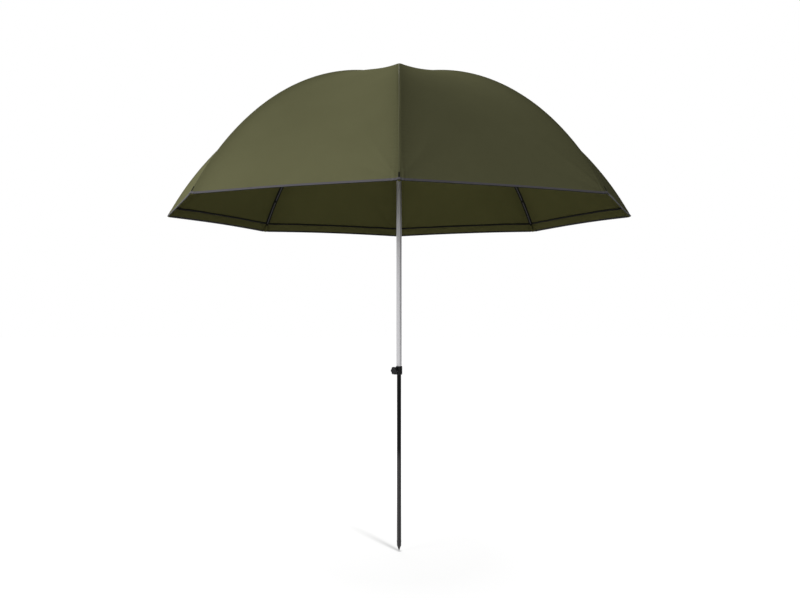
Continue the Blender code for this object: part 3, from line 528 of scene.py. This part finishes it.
def rod(path, radius, sides=18, flat=1.0):
    """A rod: a circle, or an ellipse flat times as high, carried along a path of (out, up) points and square to it,
    and closed at both ends by a dome."""
    path = np.array(path, float)
    radius = np.broadcast_to(np.asarray(radius, float), len(path))
    along = np.gradient(path, axis=0)
    along /= np.linalg.norm(along, axis=1, keepdims=True)
    bend = np.linspace(0, math.pi / 2, 6)[:-1]
    head = path[:1] - along[:1] * (0.6 * radius[0] * np.cos(bend))[:, None]
    tail = path[-1:] + along[-1:] * (0.6 * radius[-1] * np.cos(bend[::-1]))[:, None]
    place = np.concatenate([head, path, tail])
    way = np.concatenate([np.repeat(along[:1], 5, 0), along, np.repeat(along[-1:], 5, 0)])
    size = np.concatenate([radius[0] * np.sin(bend), radius, radius[-1] * np.sin(bend[::-1])])[:, None]
    around = even_turns(sides)
    side, up = size * np.cos(around), flat * size * np.sin(around)
    grid = np.stack([place[:, :1] - way[:, 1:] * up, side, place[:, 1:] + way[:, :1] * up], axis=-1)
    return skin(grid, around=True, smooth=40)


def link(centres, radii, low, high, ease=0.0003):
    """A flat link round some circles in the (out, up) plane. For each direction its edge is the furthest point of
    any circle, and the edge is drawn in where it meets the two faces."""
    turn = even_turns(72)
    way = np.stack([np.cos(turn), np.sin(turn)], axis=-1)
    centres, radii = np.array(centres, float), np.array(radii, float)
    best = np.argmax(way @ centres.T + radii, axis=1)
    inset = np.array([9, ease, ease * 0.3, 0, 0, ease * 0.3, ease, 9])[:, None]
    side = np.array([low, low, low + ease * 0.3, low + ease, high - ease, high - ease * 0.3, high, high])[:, None]
    size = np.maximum(radii[best] - inset, 0)[..., None]
    edge = centres[best] + size * way
    edge[[0, -1]] = centres.mean(axis=0)
    return skin(np.stack([edge[..., 0], side + 0 * turn, edge[..., 1]], axis=-1), around=True, smooth=50)


def with_others(*meshes):
    """Several meshes as one."""
    builder = bmesh.new()
    for mesh in meshes:
        builder.from_mesh(mesh)
    made = bpy.data.meshes.new("group")
    builder.to_mesh(made)
    builder.free()
    return made


def crossing(place, radius, half, ease=0.0004, sides=20):
    """A pin across the rib, at an (out, up) place."""
    laid = Matrix.Translation((place[0], 0, place[1])) @ Matrix.Rotation(math.pi / 2, 4, "X")
    return turned(pipe(0, radius, -half, half), ease, sides, laid)


coated = Finish("black_coated_wire", (0.012, 0.012, 0.013), 0.28, Coat_Weight=0.2)
dimple = coated.noise(900.0, 2.0)
coated.bumped((dimple, 0.08, 0.0002))
coated.use("Roughness", coated.scaled(dimple, 0.16, 0.20))
coated.use("Base Color", coated.mixed(coated.noise(40.0, 4.0), (0.010, 0.010, 0.011), (0.019, 0.019, 0.020)))
fibre = Finish("black_glass_fibre", (0.015, 0.015, 0.016), 0.38)
strand = fibre.noise(1500.0, 3.0)
fibre.use("Roughness", fibre.scaled(strand, 0.24, 0.26))
fibre.use("Base Color", fibre.mixed(strand, (0.010, 0.010, 0.011), (0.024, 0.024, 0.024)))

crown_pin = np.array([crown_reach, rib_level])
split_along = np.array([math.cos(rib_slope(split)), -math.sin(rib_slope(split))])
split_out = np.array([math.sin(rib_slope(split)), math.cos(rib_slope(split))])
rib_pin = np.array(rib_line(split, wire_depth)) - split_out * 0.0015
strut_pin = rib_pin - split_out * 0.012 - split_along * 0.006
wire_end = np.array(rib_line(split - 0.0083, 0.0072))

wire_shares = np.linspace(0.0062, split - 0.0078, 40)
wire_mesh = rod(np.transpose(rib_line(wire_shares, wire_depth)), 0.003)
eye_mesh = link([crown_pin, rib_line(0.0075, wire_depth)], [0.0032, 0.0018], -0.0015, 0.0015)
corners, corner_radii = [rib_pin, strut_pin, wire_end], [0.0032, 0.0032, 0.0029]
cheeks = [link(corners, corner_radii, low, low + 0.0015) for low in (-0.0033, 0.0018)]
pins = [crossing(place, 0.0012, 0.0036) for place in (rib_pin, strut_pin)]
bracket_mesh = with_others(*cheeks, link([wire_end], [0.0029], -0.003, 0.003), *pins)
rod_shares = np.linspace(split + 0.0062, 1 - 0.0205, 50)
rod_mesh = rod(np.transpose(rib_line(rod_shares, rod_depth)), 0.0025)
ferrule_mesh = link([rib_pin, rib_line(split + 0.0085, rod_depth)], [0.0032, 0.0020], -0.0015, 0.0015)
cap_shares = np.linspace(1 - 0.0226, 1 - 0.0048, 16)
cap_radii = 0.0034 + 0.0006 * np.sin(np.linspace(0, 1.9, 16))
cap_mesh = rod(np.transpose(rib_line(cap_shares, 0.0075)), cap_radii, 24)
for number, turn in enumerate(rib_turns, 1):
    for name, mesh, finish, body, nodes, slot in (
        ("rib_wire", wire_mesh, coated, "rib_inner", True, "rib_steel"),
        ("rib_eye", eye_mesh, coated, "rib_inner", False, "rib_steel"),
        ("bracket", bracket_mesh, coated, "rib_inner", False, "rib_steel"),
        ("rib_rod", rod_mesh, fibre, "rib_outer", True, "glass_fibre"),
        ("rod_eye", ferrule_mesh, coated, "rib_outer", False, "glass_fibre"),
        ("rod_cap", cap_mesh, moulded, "rib_outer", False, "glass_fibre"),
    ):
        copy = mesh.copy()
        copy.transform(Matrix.Rotation(turn, 4, "Z"))
        body = f"{body}_{number}"
        show(f"{name}_{number}", copy, finish, body, *([body] if nodes else []), slot=slot)

# The stretchers are black coated steel wire. One end turns on the bracket's pin, and the other is an open hook that
# hangs on the runner's wire ring.
strut_foot = np.array([runner_reach, runner_level])
strut_along = (strut_foot - strut_pin) / np.linalg.norm(strut_foot - strut_pin)
strut_mesh = rod(np.linspace(strut_pin + strut_along * 0.0085, strut_foot - strut_along * 0.0085, 12), 0.0025)
strut_eye = link([strut_pin, strut_pin + strut_along * 0.012], [0.0032, 0.0018], -0.0015, 0.0015)
foot_mesh = link([strut_foot, strut_foot - strut_along * 0.012], [0.0036, 0.0018], -0.0023, 0.0023)
mouth = slab((strut_foot[0] - 0.0016, -0.004, strut_foot[1]), (strut_foot[0] + 0.0016, 0.004, strut_foot[1] + 0.008))
hook_mesh = worked(foot_mesh, [mouth, crossing(strut_foot, 0.0016, 0.004, 0, 24)], smooth=50)
stretcher_mesh = with_others(strut_mesh, strut_eye, hook_mesh)
for number, turn in enumerate(rib_turns, 1):
    copy = stretcher_mesh.copy()
    copy.transform(Matrix.Rotation(turn, 4, "Z"))
    body = f"stretcher_{number}"
    show(f"strut_{number}", copy, coated, body, body, slot="rib_steel")


# The cloth is coated olive polyester in eight gores, sewn together along the ribs and stretched over them. Each gore
# sags in a little between its ribs, its hem is taut, and short folds run up from the rib ends.
def gore_flat(u, s):
    """The smooth cloth of the gore between the rib along +X (u is 0) and the next one (u is 1), at a share s of the
    way to the hem: a point on the chord between the ribs, moved in by the sag, which fades towards the hem, and at
    the hem's middle moved up a little."""
    hollow = 4 * u * (1 - u)
    share = s - 0.006 / rib_length * hollow * s**3
    radius, height = rib_line(share)
    slope = rib_slope(share)
    sag = 0.0317 * radius * hollow * (1 - 0.97 * s**2)
    inward = sag * np.sin(slope)
    x = radius * (1 - u + u * math.cos(math.pi / 4)) - inward * math.cos(math.pi / 8)
    y = radius * u * math.sin(math.pi / 4) - inward * math.sin(math.pi / 8)
    return np.stack([x, y, height - sag * np.cos(slope)], axis=-1)


def gore_out(u, s):
    """The smooth cloth's outward normals, square to its slopes in both directions."""
    across = gore_flat(u + 1e-3, s) - gore_flat(u - 1e-3, s)
    along = gore_flat(u, s + 1e-3) - gore_flat(u, s - 1e-3)
    normal = np.cross(along, across)
    return normal / np.linalg.norm(normal, axis=-1, keepdims=True)


def gore_relief(gore, u, s):
    """How far the cloth stands off: over each rib it is rounded, by a rise beside the seam that fades away. Creases
    run up from each rib end, as waves of the distance from the rib that are strongest at the hem and gone after a
    hand's breadth. A few long drag lines lead towards each end, and slow swells cross the whole gore."""
    chance = np.random.RandomState(71 + gore)
    width = 2 * rib_reach * math.sin(math.pi / 8)
    upward = (1 - s) * rib_length
    relief = np.zeros(np.broadcast(u, s).shape)
    for corner in (0, 1):
        sideways = (u if corner == 0 else 1 - u) * width
        distance = np.hypot(sideways, upward)
        lean = np.arctan2(sideways, upward + 1e-9)
        a, b, c = chance.uniform(0.85, 1.15, 3)
        beside_rib = sideways * rib_line(s)[0] / rib_reach
        rise = (1 - np.exp(-((beside_rib / 0.006) ** 2))) * np.exp(-beside_rib / 0.030)
        relief += 0.0014 * rise * np.clip(s / 0.1, 0, 1)
        depth = 0.0015 * np.exp(-upward / 0.028) + 0.0006 * np.exp(-((upward / 0.085) ** 2))
        crease = np.sin(2 * math.pi * sideways / (0.017 * a) + 1.2 * b + 7 * upward) * (1 - np.exp(-sideways / 0.003))
        relief += depth * crease * np.exp(-sideways / 0.032)
        drag = np.exp(-(((lean - 0.55 * c) / 0.10) ** 2)) - 0.8 * np.exp(-(((lean - 0.95 * b) / 0.13) ** 2))
        relief += 0.0012 * drag * (distance / 0.12) * np.exp(1 - distance / 0.12)
    for _ in range(4):
        a, b = chance.uniform(0.5, 1.6), chance.uniform(0.7, 2.4)
        p, q = chance.uniform(0, 2 * math.pi, 2)
        relief += chance.uniform(0.4, 1.0) * 0.0009 * np.sin(2 * math.pi * a * u + p) * np.sin(2 * math.pi * b * s + q)
    beside = np.clip(np.minimum(u, 1 - u) * np.maximum(s, 0.02) * width / 0.005, 0, 1)
    return relief * beside * beside * (3 - 2 * beside) * np.clip(s / 0.12, 0, 1)


hem_width = 0.842
# two neighbouring ribs are this share of their radius apart
rib_spacing = 0.7654


def hem_at(column):
    """The share at which the cloth ends: the hem's corner at the rib is rounded off by a few millimetres."""
    return 1 - 0.0030 * np.exp(-((column * hem_width / 0.010) ** 2))


def cloth_on(number, column, s, lift=0.0):
    """Points on the cloth about a rib. Column runs across it from -0.5 to 0.5, from the middle of one gore to the
    middle of the next, s runs from the crown to the hem, and lift is the distance outwards."""
    column, s, lift = np.broadcast_arrays(np.asarray(column, float), np.asarray(s, float), np.asarray(lift, float))
    points = np.zeros(column.shape + (3,))
    for chosen, gore, side in ((column < 0, (number - 2) % 8, 1), (column >= 0, number - 1, 0)):
        rows, offset = s[chosen], np.abs(column[chosen])
        u, rib = abs(side - offset), side * math.pi / 4
        slope = rib_slope(rows)
        on_rib = np.stack([np.sin(slope) * math.cos(rib), np.sin(slope) * math.sin(rib), np.cos(slope)], axis=-1)
        near = np.exp(-offset * rib_spacing * rib_line(rows)[0] / 0.0025)[:, None]
        normal = gore_out(u, rows) * (1 - near) + on_rib * near
        normal /= np.linalg.norm(normal, axis=-1, keepdims=True)
        x, y, z = (gore_flat(u, rows) + normal * (gore_relief(gore, u, rows) + lift[chosen])[:, None]).T
        cosine, sine = math.cos(rib_turns[gore]), math.sin(rib_turns[gore])
        points[chosen] = np.stack([x * cosine - y * sine, x * sine + y * cosine, z], axis=-1)
    return points


def two_faced(top, under, uv, smooth=50):
    """A thin closed sheet over two grids of points, its outer and its inner face, with a rim round them. The inner
    face is of the second kind, and the outer face and the rim's faces are of the first."""
    rows, columns = top.shape[:2]
    outer = np.arange(rows * columns).reshape(rows, columns)
    inner = outer + rows * columns
    border = np.concatenate([outer[0, :-1], outer[:-1, -1], outer[-1, :0:-1], outer[:0:-1, 0]])
    following = np.roll(border, -1)
    faces = [
        np.stack([grid[:-1, :-1], grid[1:, :-1], grid[1:, 1:], grid[:-1, 1:]], axis=-1).reshape(-1, 4)
        for grid in (outer, inner)
    ]
    faces.append(np.stack([border, following, following + rows * columns, border + rows * columns], axis=-1))
    kinds = np.repeat([0, 1, 0], [len(part) for part in faces])
    points = np.concatenate([top.reshape(-1, 3), under.reshape(-1, 3)])
    return joined_up(points, np.concatenate(faces), np.tile(uv.reshape(-1, 2), (2, 1)), smooth, kinds)


def along_rib(number, half_width, first, last, count, lift, thickness, columns=10):
    """A strip on the cloth along the rib: its half width in metres may change with s, and so may its lift."""
    side, s = np.meshgrid(np.linspace(-1, 1, 2 * columns + 1), np.linspace(first, last, count))
    wide = side * (half_width(s) if callable(half_width) else half_width)
    column = np.clip(wide / (rib_spacing * rib_line(s)[0]), -0.5, 0.5)
    top, under = (cloth_on(number, column, s, height) for height in (lift, lift - thickness))
    return two_faced(top, under, np.stack([wide, s * rib_length], axis=-1))


def along_hem(number, profile, wander=0.0, start=0.0):
    """A band along the hem, closed round a profile of (distance up from the edge, lift off the cloth) points. Its
    upper part may wander up and down a little. Its map runs round the profile from a start."""
    rise, lift = np.array(profile, float).T
    column = columns_across[:, None]
    wave = np.sin(7 * math.pi * column + number) + 0.6 * np.sin(17 * math.pi * column + 2.3 * number)
    wave = wander * wave * np.cos(math.pi * column) ** 2 * (rise > 0.02)
    grid = cloth_on(number, column, hem_at(column) - (rise + wave) / rib_length, lift)
    way = start + np.concatenate([[0], np.cumsum(np.hypot(np.diff(rise), np.diff(lift)))])
    uv = np.stack(np.broadcast_arrays(way, column * hem_width), axis=-1)
    ends = [np.broadcast_to(row.mean(axis=0), row.shape)[None] for row in (grid[0], grid[-1])]
    grid = np.concatenate([ends[0], grid, ends[1]])
    return skin(grid, around=True, uv=np.concatenate([uv[:1], uv, uv[-1:]]), smooth=50)


def woven(name, light, deep, through, sheen):
    """Coated polyester: a fine plain weave, slow changes of tone, faint creases, puckers along the seam, painted shade
    that darkens it beside the seam and a little light through it. Its pattern follows the cloth's own map, in metres
    across and along the rib."""
    cloth = Finish(name, light, 0.6, Specular_IOR_Level=0.0, Sheen_Weight=sheen, Sheen_Roughness=0.42)
    cloth.shader.inputs["Sheen Tint"].default_value = (0.80, 0.80, 0.62, 1)
    across, along = cloth.cloth_map()
    weave = cloth.scaled(cloth.ripple(across, 0.0011), cloth.ripple(along, 0.0011))
    tone, crease = cloth.noise(3.2, 4.0, 0.55), cloth.noise(13.0, 5.0, 0.62, (1, 1, 0.6))
    beside = cloth.sums("EXPONENT", cloth.scaled(cloth.sums("ABSOLUTE", across), -30.0))
    pucker = cloth.scaled(cloth.ripple(along, 0.018, cloth.scaled(tone, 16.0)), beside)
    dark = tuple(0.6 * value for value in deep)
    shade = cloth.mixed(cloth.between(tone, 0.3, 0.7), deep, light)
    shade = cloth.mixed(cloth.scaled(weave, 0.07, 0.07), shade, dark)
    # painted shade: the cloth darkens beside the seam, for the shade along the rib
    cloth.use("Base Color", cloth.mixed(cloth.scaled(beside, 0.68), shade, dark))
    cloth.use("Roughness", cloth.scaled(tone, 0.16, 0.52))
    cloth.bumped((weave, 0.12, 0.00012), (crease, 0.14, 0.006), (pucker, 0.30, 0.0012))
    glow = cloth.node("BsdfTranslucent", {"Color": (*through, 1)})
    blend = cloth.node("MixShader", {0: 0.18, 1: cloth.shader.outputs[0], 2: glow.outputs[0]})
    cloth.feed(cloth.nodes["Material Output"].inputs["Surface"], blend.outputs[0])
    return cloth


olive = woven("olive_cloth", (0.132, 0.1315, 0.068), (0.120, 0.1195, 0.061), (0.15, 0.15, 0.035), 0.003)
lining = woven("olive_lining", (0.084, 0.082, 0.0305), (0.076, 0.074, 0.0275), (0.135, 0.135, 0.030), 0.0)
# the cloth's columns lie closer together near the rib
share = (np.arange(49) / 48) ** 1.8
columns_across = np.concatenate([-0.5 * share[::-1], 0.5 * share[1:]])
on_cloth = {(part, number): [] for part in ("inner", "outer") for number in range(1, 9)}


def sew(name, mesh, finishes, part, number, *nodes):
    """A piece of the cloth, or one sewn to it. It rides on its half rib, and is kept in a list with the other pieces
    about that rib."""
    piece = show(f"{name}_{number}", mesh, finishes, f"rib_{part}_{number}", *nodes, slot="olive_cloth")
    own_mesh(piece)
    on_cloth[part, number].append(piece)
    return piece


# the outer cloth's top edge is tucked under the inner cloth at the split
for number in range(1, 9):
    for part, first, last, count in (("inner", 0.0, split, 64), ("outer", split - 0.0055, 1.0, 120)):
        column, row = np.meshgrid(columns_across, np.linspace(0, 1, count))
        s = first + ((hem_at(column) if part == "outer" else last) - first) * row
        tuck = -0.0009 * np.clip((split - s) / 0.004, 0, 1) if part == "outer" else 0.0 * s
        top, under = cloth_on(number, column, s, tuck), cloth_on(number, column, s, tuck - 0.0004)
        uv = np.stack([column * rib_spacing * rib_line(s)[0], s * rib_length], axis=-1)
        sew(f"cloth_{part}", two_faced(top, under, uv), (olive, lining), part, number, f"canopy_{part}_{number}")


# Sewn to the cloth are a felled seam over each rib, black tape under it with ties round the rod, a facing inside the
# hem with black piping on its upper edge, a black binding round the hem with a painted sheen, grey, on its outside,
# and olive sleeves for the rib ends, each with a black tab.
seam = Finish("stitched_seam", (0.100, 0.0995, 0.050), 0.60, Specular_IOR_Level=0.05)
across, along = seam.cloth_map()
off = seam.sums("ABSOLUTE", seam.sums("SUBTRACT", seam.sums("ABSOLUTE", across), 0.0022))
row = seam.sums("SUBTRACT", 1.0, seam.sums("DIVIDE", off, 0.0006), clamp=True)
dash = seam.sums("GREATER_THAN", seam.sums("FRACT", seam.sums("DIVIDE", along, 0.0034)), 0.24)
thread = seam.scaled(row, dash)
stitched = seam.sums("GREATER_THAN", thread, 0.2)
# painted shade: the seam's cloth is darker than the gores, for the shade along the rib; its stitches are darker thread
seam.use("Base Color", seam.mixed(stitched, (0.088, 0.0875, 0.044), (0.050, 0.049, 0.028)))
seam.bumped((seam.sums("SUBTRACT", thread, row), 0.7, 0.0005))

webbing = Finish("black_webbing", (0.008, 0.008, 0.006), 0.78, Specular_IOR_Level=0.05)
across, along = webbing.cloth_map()
ribbed = webbing.scaled(webbing.ripple(across, 0.0016), webbing.ripple(along, 0.0022))
webbing.bumped((ribbed, 0.4, 0.0002))
raised = webbing.scaled(ribbed, 0.5, 0.5)
webbing.use("Base Color", webbing.mixed(raised, (0.006, 0.0058, 0.004), (0.013, 0.0125, 0.009)))

binding = Finish("hem_binding", (0.090, 0.085, 0.093), 0.60, Specular_IOR_Level=0.10)
round_tape, along = binding.cloth_map()
binding.bumped((binding.ripple(along, 0.0014), 0.3, 0.0002))
# painted sheen: the black tape's outside is coloured grey, for the light it catches there
painted_sheen = binding.mixed(binding.noise(18.0, 3.0), (0.068, 0.065, 0.070), (0.090, 0.086, 0.093))
# its map's first part runs round the tape from the outer edge, so the tape's fold parts the painted grey from the black
inside = binding.sums("GREATER_THAN", round_tape, 0.0096)
binding.use("Base Color", binding.mixed(inside, painted_sheen, (0.009, 0.009, 0.009)))

facing = [(0.050, -0.0007), (0.044, -0.0016), (0.030, -0.0020), (0.015, -0.0018), (0.004, -0.0010)]
facing += [(0.004, -0.0014), (0.015, -0.0022), (0.030, -0.0024), (0.044, -0.0020), (0.050, -0.0011)]
piping = [(0.0556, -0.0006), (0.0472, -0.0010), (0.0463, -0.0020), (0.0478, -0.0029)]
piping += [(0.0536, -0.0032), (0.0559, -0.0022), (0.0563, -0.0012)]
hem = [(0.0092, 0.0002), (0.0089, 0.0006), (0.0044, 0.0009), (-0.0001, 0.0006), (-0.0009, -0.0003), (-0.0008, -0.0019)]
hem += [(0.0010, -0.0029), (0.0080, -0.0029), (0.0082, -0.0023), (0.0012, -0.0021), (0.0004, -0.0004), (0.0012, 0.0001)]
# the sleeve swells over the rod's cap, and a black band edges its mouth
pocket_start, pocket_depth = 1 - 0.034, 0.0070
pocket_shares = np.linspace(pocket_start, 1 - 0.0045, 24)
pocket_radii = 0.0058 + 0.0024 * np.sin(np.linspace(0.0, 2.9, 24))
pocket_mesh = rod(np.transpose(rib_line(pocket_shares, pocket_depth)), pocket_radii, 28, 0.80)
mouth_mesh = rod(np.transpose(rib_line(pocket_shares[:4] - 0.0035, pocket_depth)), 0.0062, 28, 0.80)
# its map lies at one place away from the seam, so that it has no puckers
pocket_map = np.full(2 * len(pocket_mesh.loops), 0.2, np.float32)
pocket_mesh.uv_layers.new(name="cloth").data.foreach_set("uv", pocket_map)
around = even_turns(28)
swell = 1 + 0.2 * np.maximum(np.sin(around), 0) ** 2


def tie(share, depth, radius):
    """A band of tape round the rod at a share of the rib: a loop that widens towards the cloth, carried along the
    rib for its width, out over itself and back to close."""
    centre, slope = np.array(rib_line(share, depth)), rib_slope(share)
    along = np.array([-0.0060, -0.0055, 0.0055, 0.0060, 0.0055, -0.0055, -0.0060])[:, None]
    size = radius + np.array([0, 0.0003, 0.0003, 0, -0.0004, -0.0004, 0])[:, None]
    side, up = size * np.cos(around) * swell, size * np.sin(around) * (1 + 0.25 * (np.sin(around) > 0))
    x = centre[0] + along * math.cos(slope) + up * math.sin(slope)
    z = centre[1] - along * math.sin(slope) + up * math.cos(slope)
    return skin(np.stack([x, side + 0 * along, z], axis=-1), around=True, smooth=45)


def corner_width(s):
    """Half the width of the patch in the hem's corner, which grows evenly from its tip towards the rib's end."""
    return 0.004 + 0.85 * (s - 1 + 0.036) * rib_length


for number in range(1, 9):
    for part, first, last, tape_end, count in (
        ("inner", 0.016, split, split, 70), ("outer", split, 0.9965, pocket_start, 110)
    ):
        sew(f"seam_{part}", along_rib(number, 0.0032, first, last, count, 0.0003, 0.0004), (seam, seam), part, number)
        tape = along_rib(number, 0.0135, first + 0.004, tape_end, count, -0.0007, 0.0006)
        sew(f"tape_{part}", tape, (webbing, webbing), part, number)
    sew("facing", along_hem(number, facing, start=0.2), lining, "outer", number)
    sew("piping", along_hem(number, piping, 0.0011), webbing, "outer", number)
    sew("hem_binding", along_hem(number, hem), binding, "outer", number)
    corner = along_rib(number, corner_width, 1 - 0.036, 1 - 0.006, 16, -0.0030, 0.0005, 12)
    sew("corner_patch", corner, (lining, lining), "outer", number)
    tab = along_rib(number, 0.0022, 1 - 0.026, 1 - 0.010, 12, 0.0009, 0.0006, 4)
    sew("tip_tab", tab, (webbing, webbing), "outer", number)
    spin = Matrix.Rotation(rib_turns[number - 1], 4, "Z")
    for name, mesh, finish in (("pocket", pocket_mesh, lining), ("pocket_mouth", mouth_mesh, webbing)):
        copy = mesh.copy()
        copy.transform(spin)
        piece = show(f"{name}_{number}", copy, finish, f"rib_outer_{number}", slot="olive_cloth")
        on_cloth["outer", number].append(piece)
    for index, share in enumerate((0.12, 0.27, 0.55, 0.70, 0.85), 1):
        part = "inner" if share < split else "outer"
        band = tie(share, *((wire_depth, 0.0034) if part == "inner" else (rod_depth, 0.0029)))
        band.transform(spin)
        sew(f"tie_{index}", band, webbing, part, number)

rosette_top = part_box("crown_patch")[1][2]
rosette = [(0.0064, -0.0012), (0.0400, -0.0019), (0.0420, -0.0019), (0.0420, -0.0013)]
rosette += [(0.0392, -0.0009), (0.0378, -0.0011), (0.0364, -0.0008), (0.0064, 0)]
rosette_mesh = turned(rosette, 0.0003, 96, level=rosette_top)
points, corners = np.zeros(3 * len(rosette_mesh.vertices), np.float32), np.zeros(len(rosette_mesh.loops), np.int32)
rosette_mesh.vertices.foreach_get("co", points)
rosette_mesh.loops.foreach_get("vertex_index", corners)
rosette_mesh.uv_layers.new(name="cloth").data.foreach_set("uv", points.reshape(-1, 3)[corners, :2].ravel())
rosette_piece = show("crown_rosette", rosette_mesh, olive, "mast", "crown_patch", slot="olive_cloth")
